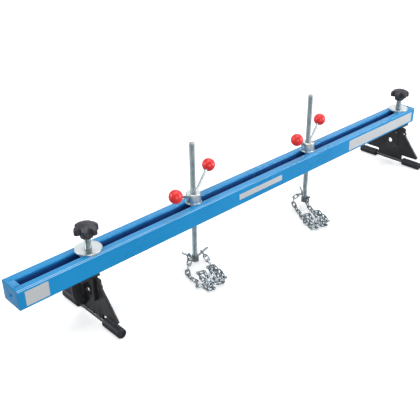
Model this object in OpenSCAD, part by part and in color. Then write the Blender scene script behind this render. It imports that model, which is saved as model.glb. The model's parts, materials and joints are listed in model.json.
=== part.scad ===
// Engine support bar: a slotted beam on two sliding foot brackets, with two
// sliding lift carriages, each a nut, a threaded rod, a double hook and a chain.
// X runs along the beam, -Y is the front, Z is up, and the feet stand on Z = 0.

/* [Beam] */
// Length over both end plates
beam_l = 1500; // [1400:10:1800]
// Width of one rail
rail_w = 21.5; // [18:0.5:26]
// Height of the rails
rail_h = 50; // [44:1:60]
// Wall of the rails
rail_t = 2.5; // [2:0.5:4]
// Outer corner radius of the rails
rail_r = 4; // [3:0.5:6]
// Width of the slot between the rails
slot_w = 24; // [20:0.5:28]
// Thickness of an end plate
end_t = 5; // [3:0.5:8]
// Reach of an end plate's web over the slot
web_l = 13; // [10:1:16]
// Thickness of that web
web_t = 5; // [3:0.5:8]
// Hole in an end plate
end_hole_d = 8; // [5:0.5:12]

/* [Foot brackets] */
// Distance of the left support plate's outer face from the beam's left end
left_foot_in = 187; // [150:1:260]
// Distance of the right support plate's outer face from the beam's right end
right_foot_in = 61; // [58:1:130]
// Height of the beam's underside over the foot rods' axis
stand_h = 121; // [110:1:150]
// Thickness of a support plate
plate_t = 6; // [5:0.5:8]
// Width of a support plate's neck
neck_w = 96; // [84:1:110]
// Height of the neck under the saddle
neck_h = 19; // [12:1:26]
// Width of a support plate over its wings
wing_w = 209; // [190:1:226]
// Radius of the wing corners
wing_r = 5; // [3:0.5:8]
// Gap under the wings, over the foot sleeves
wing_gap = 9; // [5:0.5:14]
// Width of the tongue that carries the foot rod
tongue_w = 90; // [80:1:98]
// Radius in the corner between wing and tongue
notch_r = 4; // [2:0.5:6]
// Width of the slit in a support plate
slit_w = 5.5; // [4:0.5:8]
// Length of the slit
slit_l = 62; // [40:1:76]
// Distance of the slit in front of the middle
slit_y = 28; // [22:1:34]
// Diameter of the large hole in a support plate
bar_hole_d = 15.5; // [10:0.5:18]
// Depth of the large hole under the saddle
bar_hole_drop = 52; // [44:1:60]
// Diameter of the small hole
pin_hole_d = 5; // [3:0.5:8]
// Depth of the small hole under the saddle
pin_hole_drop = 21; // [14:1:30]
// Diameter of the hole in the ear
ear_hole_d = 6.5; // [4:0.5:9]
// Radius of the ear
ear_r = 8; // [7:0.5:11]
// Depth of the ear's hole under the saddle
ear_drop = 18; // [14:1:24]
// Reach of the gusset from the support plate
gusset_w = 28; // [20:1:34]
// Thickness of the gusset
gusset_t = 5; // [4:0.5:8]
// Distance of the gusset behind the middle
gusset_y = 30; // [26:1:36]
// Height of the gusset's straight outer edge under the saddle
gusset_h = 64; // [40:1:70]
// Size of the weld beads
weld_d = 5; // [3:0.5:7]

/* [Saddle and guide] */
// Thickness of a saddle plate
saddle_t = 6; // [4:0.5:8]
// Reach of a saddle plate past the support plate's outer face
saddle_out = 35; // [34:1:44]
// Reach of a saddle plate inwards of that face
saddle_in = 14; // [10:1:30]
// Width of a saddle plate
saddle_w = 66; // [56:1:80]
// Length of a guide block along the slot
block_l = 36; // [28:1:36]
// Distance of a guide block's top below the beam's top
block_drop = 4; // [2:0.5:8]
// Play between a guide block and each rail
slide_play = 0.25; // [0.2:0.05:0.5]

/* [Clamps] */
// Clamp axis, from each support plate's outer face along +X
clamp_off = 11; // [10:0.5:12]
// Diameter of a clamp stud
stud_d = 16; // [12:0.5:18]
// Reach of a clamp stud below the beam's top
stud_down = 20; // [16:0.5:20]
// Bare length of a clamp stud over the beam's top
stud_bare = 34; // [32:0.5:44]
// Depth of a clamp stud in its knob
stud_in = 20; // [16:0.5:22]
// Diameter of a clamp washer
washer_d = 64; // [52:1:66]
// Thickness of a clamp washer
washer_t = 5; // [3:0.5:5]
// Diameter over a knob's lobes
knob_d = 59; // [52:1:66]
// Radius of one lobe
lobe_r = 8; // [7:0.25:9]
// Radius of the hollow between lobes
hollow_r = 6; // [5:0.5:7]
// Diameter of a knob's hub
hub_d = 30; // [26:1:34]
// Height of the hub under the lobes
hub_h = 12; // [8:1:16]
// Height of the lobes at their rim
rim_h = 14; // [12:1:18]
// Rise of the knob's crown over that rim
crown_h = 11; // [8:0.5:13]
// Turn of the left knob
left_knob_turn = 49; // [0:1:60]
// Turn of the right knob
right_knob_turn = 10; // [0:1:60]

/* [Lift carriages] */
// Left lift axis, from the beam's middle
left_lift_x = 231.5; // [220:0.5:260]
// Right lift axis, from the beam's middle
right_lift_x = 222; // [210:0.5:260]
// Diameter of a thrust washer
thrust_d = 42; // [38:1:48]
// Thickness of a thrust washer
thrust_t = 2.5; // [2:0.5:5]
// Diameter of a lift nut
nut_d = 39; // [36:1:44]
// Height of a lift nut
nut_h = 25.5; // [22:0.5:32]
// Chamfer on a lift nut's top edge
nut_c = 2; // [1:0.5:4]
// Depth of the groove round a lift nut's foot
groove_t = 2; // [1:0.5:3]
// Diameter of a handle rod
handle_d = 6; // [5:0.5:7]
// Depth of a handle rod in its nut
handle_seat = 5; // [4:0.5:6]
// Distance of a handle's root under a nut's top
handle_drop = 6; // [5:0.5:8]
// Diameter of a handle ball
ball_d = 35; // [28:1:40]
// Radius from the lift axis to the left balls
left_ball_r = 97; // [86:1:108]
// Height of the left balls over the beam's top
left_ball_h = 62; // [54:1:70]
// Turn of the left handles
left_handle_turn = 22.8; // [0:0.1:180]
// Radius from the lift axis to the right balls
right_ball_r = 88; // [80:1:108]
// Height of the right balls over the beam's top
right_ball_h = 66; // [54:1:72]
// Turn of the right handles
right_handle_turn = 17.6; // [0:0.1:180]

/* [Lift rods and hooks] */
// Diameter of a lift rod
rod_d = 14; // [12:0.5:15]
// Length of a lift rod
rod_l = 330; // [326:1:400]
// Diameter of a hook's collar
collar_d = 20; // [18:0.5:20.5]
// Height of a hook's collar
collar_h = 15; // [13:0.5:18]
// Depth of a lift rod in its collar
collar_in = 5.5; // [4:0.5:7]
// Diameter of a prong
prong_d = 5.5; // [5:0.25:5.5]
// Reach of a prong's tip from the lift axis
prong_r = 37; // [34:0.5:42]
// Turn of the left hook
left_hook_turn = -22; // [-90:1:90]
// Turn of the right hook
right_hook_turn = 64; // [-90:1:90]

/* [Chains] */
// Wire of a chain link
wire_d = 4; // [3:0.25:4]

/* [Foot sleeves] */
// Diameter of a foot rod
foot_rod_d = 12; // [10:0.5:14]
// Diameter of a foot sleeve
sleeve_d = 24; // [20:0.5:30]
// Length of a foot sleeve
sleeve_l = 64; // [50:1:80]
// Distance from the middle to a sleeve's inner end
sleeve_in = 52; // [50:1:64]
// Depth of a foot rod's end inside its sleeve
rod_short = 2; // [1:0.5:4]

/* [Hidden] */
// Play of a pin, rod or stud in its bore, on the radius
fit = 0.05;
foot_z = sleeve_d / 2;
left_foot_x = beam_l / 2 - left_foot_in;
right_foot_x = beam_l / 2 - right_foot_in;
// Heights of the rods' feet over the floor, with the chains slack
left_rod_z = 16;
right_rod_z = 23;
// Slope of the prongs, and their root under a rod's foot
prong_a = 35;
root_drop = 3;
// A link: from its middle to a round end's middle, and that end's radius
link_a = 6.3;
link_b = 5.2;
// How much further two level links are drawn apart
taut = 0.6;
beam_z = foot_z + stand_h;
top_z = beam_z + rail_h;
beam_w = 2 * rail_w + slot_w;
rail_y = (slot_w + rail_w) / 2;
saddle_z = beam_z - saddle_t;
ear_y = neck_w / 2 - 4;
wing_z = sleeve_d + wing_gap;
left_clamp_x = -left_foot_x + clamp_off;
right_clamp_x = right_foot_x + clamp_off;
block_h = rail_h - block_drop;
knob_z = top_z + stud_bare;
lobe_p = knob_d / 2 - lobe_r;
hollow_p = lobe_p * cos(30) + sqrt(pow(lobe_r + hollow_r, 2) - pow(lobe_p * sin(30), 2));
crown_r = (pow(knob_d / 2, 2) + pow(crown_h, 2)) / (2 * crown_h);
nut_z = top_z + thrust_t;
arm_r = nut_d / 2 - handle_seat / 2;
arm_z = nut_z + nut_h - handle_drop;
eps = 1;
$fn = 64;
blue = [0.11, 0.5, 0.78];
black = [0.1, 0.1, 0.11];
zinc = [0.72, 0.74, 0.76];
rubber = [0.16, 0.16, 0.17];
red = [0.8, 0.1, 0.1];

// A rectangle with round corners, centred
module round_rect(w, h, r) {
    square([w - 2 * r, h], center = true);
    square([w, h - 2 * r], center = true);
    for (x = [-1, 1], y = [-1, 1])
        translate([x * (w / 2 - r), y * (h / 2 - r)]) circle(r);
}

// Turns an outline drawn in Y and Z into a plate that runs along +X
module along_x(l) {
    rotate([90, 0, 90]) linear_extrude(l) children();
}

module ring(d, bore, h) {
    difference() {
        cylinder(d = d, h = h);
        translate([0, 0, -eps]) cylinder(d = bore, h = h + 2 * eps);
    }
}

// One rail: a rounded tube between the end plates
module rail(side) {
    color(blue)
    translate([-beam_l / 2 + end_t, side * rail_y, beam_z + rail_h / 2])
    along_x(beam_l - 2 * end_t) difference() {
        round_rect(rail_w, rail_h, rail_r);
        round_rect(rail_w - 2 * rail_t, rail_h - 2 * rail_t, rail_r - rail_t + 1);
    }
}

// An end plate with its hole and the web that ties the rails over the slot
module end_plate(side) {
    color(blue)
    mirror([side < 0 ? 1 : 0, 0, 0]) {
        translate([beam_l / 2 - end_t, 0, beam_z + rail_h / 2])
        along_x(end_t) difference() {
            round_rect(beam_w, rail_h, rail_r);
            circle(d = end_hole_d);
        }
        translate([beam_l / 2 - end_t - web_l, -slot_w / 2, top_z - web_t])
            cube([web_l + eps / 2, slot_w, web_t]);
    }
}

// Puts a bracket's parts at their support plate's outer face, +X inwards
module at_left_foot() {
    translate([-left_foot_x, 0, 0]) children();
}

module at_right_foot() {
    translate([right_foot_x, 0, 0]) mirror([1, 0, 0]) children();
}

module saddle() {
    color(black)
    translate([-saddle_out, -saddle_w / 2, saddle_z])
        cube([saddle_out + saddle_in, saddle_w, saddle_t]);
}

module guide_block(x) {
    color(zinc)
    difference() {
        translate([x - block_l / 2, -slot_w / 2 + slide_play, beam_z])
            cube([block_l, slot_w - 2 * slide_play, block_h]);
        translate([x, 0, beam_z - eps]) cylinder(d = stud_d + 2 * fit, h = rail_h);
    }
}

// Where the slanted edge from the neck touches the wing corner's circle
function touch(from, c, r) =
    let (v = from - c, d = norm(v), a = acos(r / d), b = atan2(v[1], v[0]) - a)
    c + r * [cos(b), sin(b)];

module plate_half() {
    neck = [neck_w / 2, saddle_z - neck_h];
    corner = [wing_w / 2 - wing_r, wing_z + wing_r];
    edge = touch([neck[0], neck[1]], corner, wing_r);
    notch = [tongue_w / 2 + notch_r, wing_z - notch_r];
    polygon([[0, foot_z], [0, saddle_z], [neck[0], saddle_z], neck, edge,
        corner, [corner[0], wing_z], [tongue_w / 2, wing_z], [tongue_w / 2, foot_z]]);
    translate(corner) circle(wing_r);
    difference() {
        translate([tongue_w / 2 - eps, wing_z - notch_r]) square([notch_r + eps, notch_r + eps / 2]);
        translate(notch) circle(notch_r);
    }
}

// Support plate: neck, wings, tongue, ear, slit, holes and the beads on the foot rod
module support_plate() {
    color(black)
    difference() {
        union() {
            along_x(plate_t) difference() {
                union() {
                    plate_half();
                    mirror([1, 0]) plate_half();
                    translate([-ear_y, saddle_z - ear_drop]) circle(ear_r);
                }
                translate([-slit_y, saddle_z - slit_l]) {
                    circle(d = slit_w);
                    translate([-slit_w / 2, 0]) square([slit_w, slit_l + eps]);
                }
                translate([neck_w / 16, saddle_z - bar_hole_drop]) circle(d = bar_hole_d);
                translate([15 - slit_y, saddle_z - pin_hole_drop]) circle(d = pin_hole_d);
                translate([-ear_y, saddle_z - ear_drop]) circle(d = ear_hole_d);
            }
            for (y = [-34, -10, 14])
                translate([0, y, foot_z + foot_rod_d / 2 + 0.5])
                rotate([-90, 0, 0]) cylinder(d = weld_d, h = 11);
        }
        translate([plate_t / 2, 0, foot_z]) rotate([90, 0, 0])
            cylinder(d = foot_rod_d + 2 * fit, h = tongue_w + 2 * eps, center = true);
    }
}

// Gusset: straight outer edge, then an arc back to the plate, with weld beads
module gusset() {
    drop = saddle_z - gusset_h;
    low = drop - foot_z - foot_rod_d / 2 - 1;
    arc = (pow(gusset_w, 2) + pow(low, 2)) / (2 * gusset_w);
    color(black) {
        translate([0, gusset_y + gusset_t / 2, 0]) rotate([90, 0, 0])
        linear_extrude(gusset_t) {
            translate([-gusset_w, drop]) square([gusset_w, gusset_h]);
            intersection() {
                translate([-gusset_w, drop - low]) square([gusset_w, low + eps / 2]);
                translate([arc - gusset_w, drop]) circle(arc, $fn = 128);
            }
        }
        difference() {
            for (k = [0:4])
                translate([0, gusset_y - gusset_t / 2, drop - low + 14 + 18 * k])
                    cylinder(d = weld_d, h = 8);
            translate([0, gusset_y - 3 * gusset_t, 0])
                cube([weld_d, 4 * gusset_t, saddle_z]);
        }
    }
}

module foot_rod() {
    l = 2 * (sleeve_in + sleeve_l - rod_short);
    color(black)
    translate([plate_t / 2, 0, foot_z]) rotate([90, 0, 0])
        cylinder(d = foot_rod_d, h = l, center = true);
}

module foot_sleeve(side) {
    color(rubber)
    translate([plate_t / 2, side * (sleeve_in + sleeve_l / 2), foot_z]) rotate([90, 0, 0])
    translate([0, 0, -sleeve_l / 2])
        ring(sleeve_d, foot_rod_d + 2 * fit, sleeve_l);
}

module clamp_washer(x) {
    color(zinc)
    translate([x, 0, top_z]) ring(washer_d, stud_d + 1, washer_t);
}

module clamp_stud(x) {
    color(zinc)
    translate([x, 0, top_z - stud_down])
        cylinder(d = stud_d, h = stud_down + stud_bare + stud_in);
}

// Outline of a knob's six lobes, with round hollows that touch them
module lobes() {
    difference() {
        polygon([for (k = [0:11])
            (k % 2 == 0 ? lobe_p : hollow_p) * [cos(30 * k), sin(30 * k)]]);
        for (k = [0:5])
            rotate(30 + 60 * k) translate([hollow_p, 0]) circle(hollow_r);
    }
    for (k = [0:5])
        rotate(60 * k) translate([lobe_p, 0]) circle(lobe_r);
}

module star_knob(x, turn) {
    color(black)
    translate([x, 0, knob_z]) difference() {
        union() {
            cylinder(d = hub_d, h = hub_h + eps);
            intersection() {
                rotate(turn) translate([0, 0, hub_h]) linear_extrude(rim_h + crown_h) lobes();
                translate([0, 0, hub_h + rim_h + crown_h - crown_r]) sphere(crown_r);
            }
        }
        translate([0, 0, -eps]) cylinder(d = stud_d + 2 * fit, h = stud_in + fit + eps);
    }
}

module thrust_washer(x) {
    color(zinc)
    translate([x, 0, top_z]) ring(thrust_d, rod_d + 1, thrust_t);
}

// Turns its children, drawn along +X from an arm's root, into one handle's line
module arm(turn, ball_r, ball_h) {
    rise = atan2(top_z + ball_h - arm_z, ball_r - arm_r);
    rotate(turn) translate([arm_r, 0, arm_z]) rotate([0, -rise, 0]) children();
}

function arm_l(ball_r, ball_h) = norm([ball_r - arm_r, top_z + ball_h - arm_z]);

module lift_nut(x, turn, ball_r, ball_h) {
    color(zinc)
    translate([x, 0, 0]) difference() {
        rotate_extrude() polygon([
            [rod_d / 2 + fit, nut_z], [nut_d / 2 - groove_t, nut_z],
            [nut_d / 2 - groove_t, nut_z + groove_t], [nut_d / 2, nut_z + groove_t],
            [nut_d / 2, nut_z + nut_h - nut_c], [nut_d / 2 - nut_c, nut_z + nut_h],
            [rod_d / 2 + fit, nut_z + nut_h]]);
        for (s = [0, 180])
            arm(turn + s, ball_r, ball_h) rotate([0, 90, 0])
                translate([0, 0, -handle_seat - fit]) cylinder(d = handle_d + 2 * fit, h = nut_d);
    }
}

module nut_handles(x, turn, ball_r, ball_h) {
    color(zinc)
    for (s = [0, 180])
        translate([x, 0, 0]) arm(turn + s, ball_r, ball_h) rotate([0, 90, 0])
            translate([0, 0, -handle_seat])
                cylinder(d = handle_d, h = arm_l(ball_r, ball_h) + handle_seat);
}

module handle_balls(x, turn, ball_r, ball_h) {
    color(red)
    for (s = [0, 180])
        translate([x, 0, 0]) arm(turn + s, ball_r, ball_h)
        translate([arm_l(ball_r, ball_h), 0, 0]) difference() {
            sphere(d = ball_d);
            rotate([0, -90, 0]) translate([0, 0, -fit])
                cylinder(d = handle_d + 2 * fit, h = ball_d);
        }
}

module lift_rod(x, z) {
    color(zinc)
    translate([x, 0, z]) cylinder(d = rod_d, h = rod_l);
}

// Double hook: a collar on the rod's foot with two sloped prongs
module double_hook(x, z, turn) {
    low = z + collar_in - collar_h;
    root = z - root_drop;
    l = prong_r / cos(prong_a);
    color(zinc)
    translate([x, 0, 0]) difference() {
        union() {
            translate([0, 0, low]) cylinder(d = collar_d, h = collar_h);
            for (s = [0, 180])
                rotate(turn + s) translate([0, 0, root]) rotate([0, 90 - prong_a, 0]) {
                    cylinder(d = prong_d, h = l - prong_d / 2);
                    translate([0, 0, l - prong_d / 2]) sphere(d = prong_d);
                }
        }
        translate([0, 0, z - fit]) cylinder(d = rod_d + 2 * fit, h = collar_h);
    }
}

// A link on the X axis, in the XY plane: two straight wires and two round ends
module link() {
    for (s = [0, 180]) rotate(s) {
        translate([link_a, 0, 0]) rotate(-90) rotate_extrude(angle = 180)
            translate([link_b, 0]) circle(d = wire_d, $fn = 32);
        translate([-link_a, link_b, 0]) rotate([0, 90, 0])
            cylinder(d = wire_d, h = 2 * link_a, $fn = 32);
    }
}

// Direction of a heading and a pitch
function way(h, p) = [cos(h) * cos(p), sin(h) * cos(p), sin(p)];

// Entry i of a step, or 0
function at(t, i) = t[i] == undef ? 0 : t[i];

// From a link's middle to its joint with the next: the joint lies on an upright
// link's wire when s is 0, and on a flat link's wire when s is 1
function reach(up, s) = link_a + link_b * (up ? 1 - s : s) + (!up && s == 0 ? taut : 0);

// Links laid one after the other from joint q, flat and upright in turn.
// A step is [heading, pitch, s of its far joint, roll]
function lay(steps, q, up, s, k = 0) = k == len(steps) ? [] :
    let (t = steps[k], d = way(t[0], at(t, 1)),
        a = reach(up, s), e = q + (a + reach(up, at(t, 2))) * d)
    concat([[q + a * d, [at(t, 3) - (up ? 90 : 0), -at(t, 1), t[0]], e]],
        lay(steps, e, !up, at(t, 2), k + 1));

// A link from joint p to joint q
function span(p, q, up) = let (d = q - p)
    [(p + q) / 2, [up ? -90 : 0, -atan2(d[2], norm([d[0], d[1]])), atan2(d[1], d[0])]];

// A flat and an upright link that close the chain between two joints
function close(p, q) =
    let (la = 2 * reach(false, 0), lb = 2 * reach(true, 0), n = norm(q - p), u = (q - p) / n,
        a = (la * la - lb * lb + n * n) / (2 * n), w = cross([0, 0, 1], u),
        m = p + a * u + sqrt(la * la - a * a) * w / norm(w))
    [span(p, m, false), span(m, q, true)];

function joint(links) = links[len(links) - 1][2];

// Middle of a prong at radius r, as [x, y, z] on a hook with its prongs along X
function on_prong(turn, r, z) = [r * cos(turn), r * sin(turn), z - root_drop + r * tan(prong_a)];

// Direction of a link that hangs across a prong to one side and sags by a tilt
function sag(turn, side, tilt) = cos(tilt) * way(turn + 90 * side, 0)
    + sin(tilt) * [sin(prong_a) * cos(turn), sin(prong_a) * sin(turn), -cos(prong_a)];

function sag_end(turn, r, z, side, tilt, s) =
    on_prong(turn, r, z) + (link_a + reach(true, s)) * sag(turn, side, tilt);

module hung(turn, r, z, side, tilt) {
    translate(on_prong(turn, r, z)) rotate(turn + 90 * side)
    rotate([side * (90 - prong_a), 0, 0]) rotate(-side * tilt)
        translate([link_a, 0, 0]) link();
}

module laid(links) {
    for (e = links) translate(e[0]) rotate(e[1]) link();
}

// Left chain: down from the first prong, four lanes on the floor and over
// each other, and up round the outside to the second prong
module left_chain(z) {
    a = lay([[-82, -18, 0.4, 20], [-86, -23, 0.4, 10], [-88, -12, 0.25], [-86], [-82], [-92],
        [-174], [98, 11, 0.4], [94, 25, 0.4], [88, 10], [4], [-80], [-84], [-86],
        [-164], [-160], [-162], [102], [98], [88], [4],
        [-80, -10, 0.4], [-86, -25, 0.4], [-92, -11], [-174], [104]],
        sag_end(0, 20, z, -1, 16, 0.4), false, 0.4);
    b = lay([[-118, -17, 0.4, -20], [-124, -21, 0.4, -10], [-104, -11, 0.25], [-82], [-64]],
        sag_end(180, 18, z, 1, 16, 0.4), false, 0.4);
    color(zinc)
    translate([-left_lift_x, 0, 0]) rotate(left_hook_turn) {
        hung(0, 20, z, -1, 16);
        hung(180, 18, z, 1, 16);
        laid(concat(a, close(joint(a), joint(b)), b));
    }
}

// Right chain: straight down from the front prong, the same lanes in a fan, and
// up round the collar to the rear prong
module right_chain(z) {
    r = 17.6;
    top = on_prong(180, r, z) + [0, 0, 1 - link_a];
    a = lay([[180, -18, 0.3], [182, -12, 0.2], [188], [180], [182], [184], [174],
        [90], [4, 11, 0.4], [0, 25, 0.4], [-6, 10], [-92], [-174], [-178], [-182],
        [-260], [-264], [-256], [4], [2], [-8], [-86],
        [-176, -10, 0.4], [-180, -25, 0.4], [-186, -11], [-278], [2]],
        top - [0, 0, link_a + link_b], true, 1);
    b = lay([[117, -14, 0.4, -20], [148, -22, 0.4, -10], [178, -22, 0.25], [180, -8],
        [-184], [-188], [-180]],
        sag_end(0, 16, z, 1, 16, 0.4), false, 0.4);
    color(zinc)
    translate([right_lift_x, 0, 0]) rotate(right_hook_turn) {
        translate(top) rotate([0, -90, 180]) link();
        hung(0, 16, z, 1, 16);
        laid(concat(a, close(joint(a), joint(b)), b));
    }
}

rail(-1);  // front_rail
rail(1);  // rear_rail
end_plate(-1);  // left_end_plate
end_plate(1);  // right_end_plate
at_left_foot() saddle();  // left_saddle
guide_block(left_clamp_x);  // left_guide_block
at_left_foot() support_plate();  // left_support_plate
at_left_foot() gusset();  // left_gusset
at_left_foot() foot_rod();  // left_foot_rod
at_left_foot() foot_sleeve(-1);  // left_front_sleeve
at_left_foot() foot_sleeve(1);  // left_rear_sleeve
clamp_washer(left_clamp_x);  // left_clamp_washer
clamp_stud(left_clamp_x);  // left_clamp_stud
star_knob(left_clamp_x, left_knob_turn);  // left_star_knob
at_right_foot() saddle();  // right_saddle
guide_block(right_clamp_x);  // right_guide_block
at_right_foot() support_plate();  // right_support_plate
at_right_foot() gusset();  // right_gusset
at_right_foot() foot_rod();  // right_foot_rod
at_right_foot() foot_sleeve(-1);  // right_front_sleeve
at_right_foot() foot_sleeve(1);  // right_rear_sleeve
clamp_washer(right_clamp_x);  // right_clamp_washer
clamp_stud(right_clamp_x);  // right_clamp_stud
star_knob(right_clamp_x, right_knob_turn);  // right_star_knob
thrust_washer(-left_lift_x);  // left_thrust_washer
lift_nut(-left_lift_x, left_handle_turn, left_ball_r, left_ball_h);  // left_lift_nut
nut_handles(-left_lift_x, left_handle_turn, left_ball_r, left_ball_h);  // left_nut_handles
handle_balls(-left_lift_x, left_handle_turn, left_ball_r, left_ball_h);  // left_handle_balls
lift_rod(-left_lift_x, left_rod_z);  // left_lift_rod
double_hook(-left_lift_x, left_rod_z, left_hook_turn);  // left_double_hook
left_chain(left_rod_z);
thrust_washer(right_lift_x);  // right_thrust_washer
lift_nut(right_lift_x, right_handle_turn, right_ball_r, right_ball_h);  // right_lift_nut
nut_handles(right_lift_x, right_handle_turn, right_ball_r, right_ball_h);  // right_nut_handles
handle_balls(right_lift_x, right_handle_turn, right_ball_r, right_ball_h);  // right_handle_balls
lift_rod(right_lift_x, right_rod_z);  // right_lift_rod
double_hook(right_lift_x, right_rod_z, right_hook_turn);  // right_double_hook
right_chain(right_rod_z);
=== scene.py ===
import json
import math

import bmesh
import bpy
from mathutils import Matrix, Vector


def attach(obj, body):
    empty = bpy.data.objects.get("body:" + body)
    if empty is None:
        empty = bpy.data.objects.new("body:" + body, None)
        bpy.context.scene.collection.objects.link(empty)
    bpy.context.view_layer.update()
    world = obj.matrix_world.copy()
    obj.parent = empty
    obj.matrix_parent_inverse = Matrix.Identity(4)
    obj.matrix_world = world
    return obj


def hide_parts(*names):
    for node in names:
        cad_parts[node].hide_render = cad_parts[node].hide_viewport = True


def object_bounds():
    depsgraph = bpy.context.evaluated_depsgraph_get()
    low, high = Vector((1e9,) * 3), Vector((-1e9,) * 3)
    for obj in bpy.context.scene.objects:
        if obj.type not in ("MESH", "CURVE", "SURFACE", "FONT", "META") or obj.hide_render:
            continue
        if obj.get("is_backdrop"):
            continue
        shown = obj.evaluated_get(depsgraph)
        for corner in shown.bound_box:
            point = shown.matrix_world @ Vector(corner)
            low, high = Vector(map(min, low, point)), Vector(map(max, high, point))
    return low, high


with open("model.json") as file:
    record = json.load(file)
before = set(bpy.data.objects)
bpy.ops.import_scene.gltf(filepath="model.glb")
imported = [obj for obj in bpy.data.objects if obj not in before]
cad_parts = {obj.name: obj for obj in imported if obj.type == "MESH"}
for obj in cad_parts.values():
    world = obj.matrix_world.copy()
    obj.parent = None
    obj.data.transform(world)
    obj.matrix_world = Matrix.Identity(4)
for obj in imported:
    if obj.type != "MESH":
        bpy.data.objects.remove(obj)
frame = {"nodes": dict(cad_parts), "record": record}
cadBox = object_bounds()
nodes = frame["nodes"]
mm = 0.001

# Where each side's bracket, clamp and lifting hook stand along the beam, in metres
places = {
    "left": dict(foot=-0.560, clamp=-0.552, lift=-0.2315),
    "right": dict(foot=0.686, clamp=0.700, lift=0.222),
}
beam = dict(top=0.183, slotHalf=0.012, outer=0.0335, corner=0.004)


def plain(value):
    if hasattr(value, "__len__"):
        return [plain(v) for v in value]
    return float(value)


# Shader groups that several materials share

def newGroup(name, inputs, outputs):
    tree = bpy.data.node_groups.new(name, "ShaderNodeTree")
    for label, kind, value in inputs:
        socket = tree.interface.new_socket(label, in_out="INPUT", socket_type=kind)
        socket.default_value = value
    for label, kind in outputs:
        tree.interface.new_socket(label, in_out="OUTPUT", socket_type=kind)
    return tree, tree.nodes.new("NodeGroupInput"), tree.nodes.new("NodeGroupOutput")


def addNode(tree, kind, **settings):
    node = tree.nodes.new(kind)
    for key, value in settings.items():
        setattr(node, key, value)
    return node


def wire(tree, source, target):
    tree.links.new(source, target)


def mathNode(tree, operation, first, second=None, clamp=False):
    node = addNode(tree, "ShaderNodeMath", operation=operation, use_clamp=clamp)
    for index, value in enumerate((first, second)):
        if value is None:
            continue
        if isinstance(value, (int, float)):
            node.inputs[index].default_value = value
        else:
            wire(tree, value, node.inputs[index])
    return node.outputs[0]


def ramp(tree, value, low, high, outLow=0.0, outHigh=1.0):
    node = addNode(tree, "ShaderNodeMapRange")
    wire(tree, value, node.inputs["Value"])
    limits = {"From Min": low, "From Max": high, "To Min": outLow, "To Max": outHigh}
    for label, number in limits.items():
        if isinstance(number, (int, float)):
            node.inputs[label].default_value = number
        else:
            wire(tree, number, node.inputs[label])
    return node.outputs["Result"]


def groupNode(tree, group, **values):
    node = addNode(tree, "ShaderNodeGroup", node_tree=group)
    for label, value in values.items():
        node.inputs[label].default_value = value
    return node.outputs[0]


def objectPoint(tree):
    return addNode(tree, "ShaderNodeTexCoord").outputs["Object"]


def splitAxes(tree, point):
    parts = addNode(tree, "ShaderNodeSeparateXYZ")
    wire(tree, point, parts.inputs[0])
    return parts.outputs


# Spreads the middle values of a noise to the full range
def spreadOut(tree, value, spread):
    low = mathNode(tree, "SUBTRACT", 0.5, spread)
    high = mathNode(tree, "ADD", 0.5, spread)
    return ramp(tree, value, low, high)


# A noise on object space that the group's Stretch draws out into lines
def stretchedNoise(tree, start, detail):
    scaled = addNode(tree, "ShaderNodeVectorMath", operation="MULTIPLY")
    noise = addNode(tree, "ShaderNodeTexNoise")
    noise.inputs["Scale"].default_value = 1.0
    noise.inputs["Detail"].default_value = detail
    wire(tree, objectPoint(tree), scaled.inputs[0])
    wire(tree, start.outputs["Stretch"], scaled.inputs[1])
    wire(tree, scaled.outputs[0], noise.inputs["Vector"])
    return noise.outputs[0]


# Soft clouds in object space, spread to the full range
def makeClouds():
    tree, start, end = newGroup(
        "clouds",
        [("Scale", "NodeSocketFloat", 40.0), ("Detail", "NodeSocketFloat", 4.0),
         ("Spread", "NodeSocketFloat", 0.2)],
        [("Mask", "NodeSocketFloat")])
    noise = addNode(tree, "ShaderNodeTexNoise")
    noise.inputs["Roughness"].default_value = 0.6
    wire(tree, objectPoint(tree), noise.inputs["Vector"])
    wire(tree, start.outputs["Scale"], noise.inputs["Scale"])
    wire(tree, start.outputs["Detail"], noise.inputs["Detail"])
    wire(tree, spreadOut(tree, noise.outputs[0], start.outputs["Spread"]), end.inputs["Mask"])
    return tree


# Fine lines that run along the axis with the smallest stretch
def makeLines():
    tree, start, end = newGroup(
        "lines",
        [("Stretch", "NodeSocketVector", (4.0, 900.0, 900.0)), ("Spread", "NodeSocketFloat", 0.25)],
        [("Mask", "NodeSocketFloat")])
    noise = stretchedNoise(tree, start, 3.0)
    wire(tree, spreadOut(tree, noise, start.outputs["Spread"]), end.inputs["Mask"])
    return tree


# Rounded cells for powder coat, orange peel and moulded grain
def makeCells():
    tree, start, end = newGroup(
        "cells",
        [("Scale", "NodeSocketFloat", 900.0), ("Waviness", "NodeSocketFloat", 0.3)],
        [("Height", "NodeSocketFloat")])
    point = objectPoint(tree)
    voronoi = addNode(tree, "ShaderNodeTexVoronoi", feature="SMOOTH_F1")
    noise = addNode(tree, "ShaderNodeTexNoise")
    wire(tree, point, voronoi.inputs["Vector"])
    wire(tree, point, noise.inputs["Vector"])
    wire(tree, start.outputs["Scale"], voronoi.inputs["Scale"])
    waveScale = mathNode(tree, "MULTIPLY", start.outputs["Scale"], 0.23)
    wire(tree, waveScale, noise.inputs["Scale"])
    wavy = mathNode(tree, "MULTIPLY", noise.outputs[0], start.outputs["Waviness"])
    total = mathNode(tree, "ADD", voronoi.outputs["Distance"], wavy)
    wire(tree, total, end.inputs["Height"])
    return tree


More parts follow.
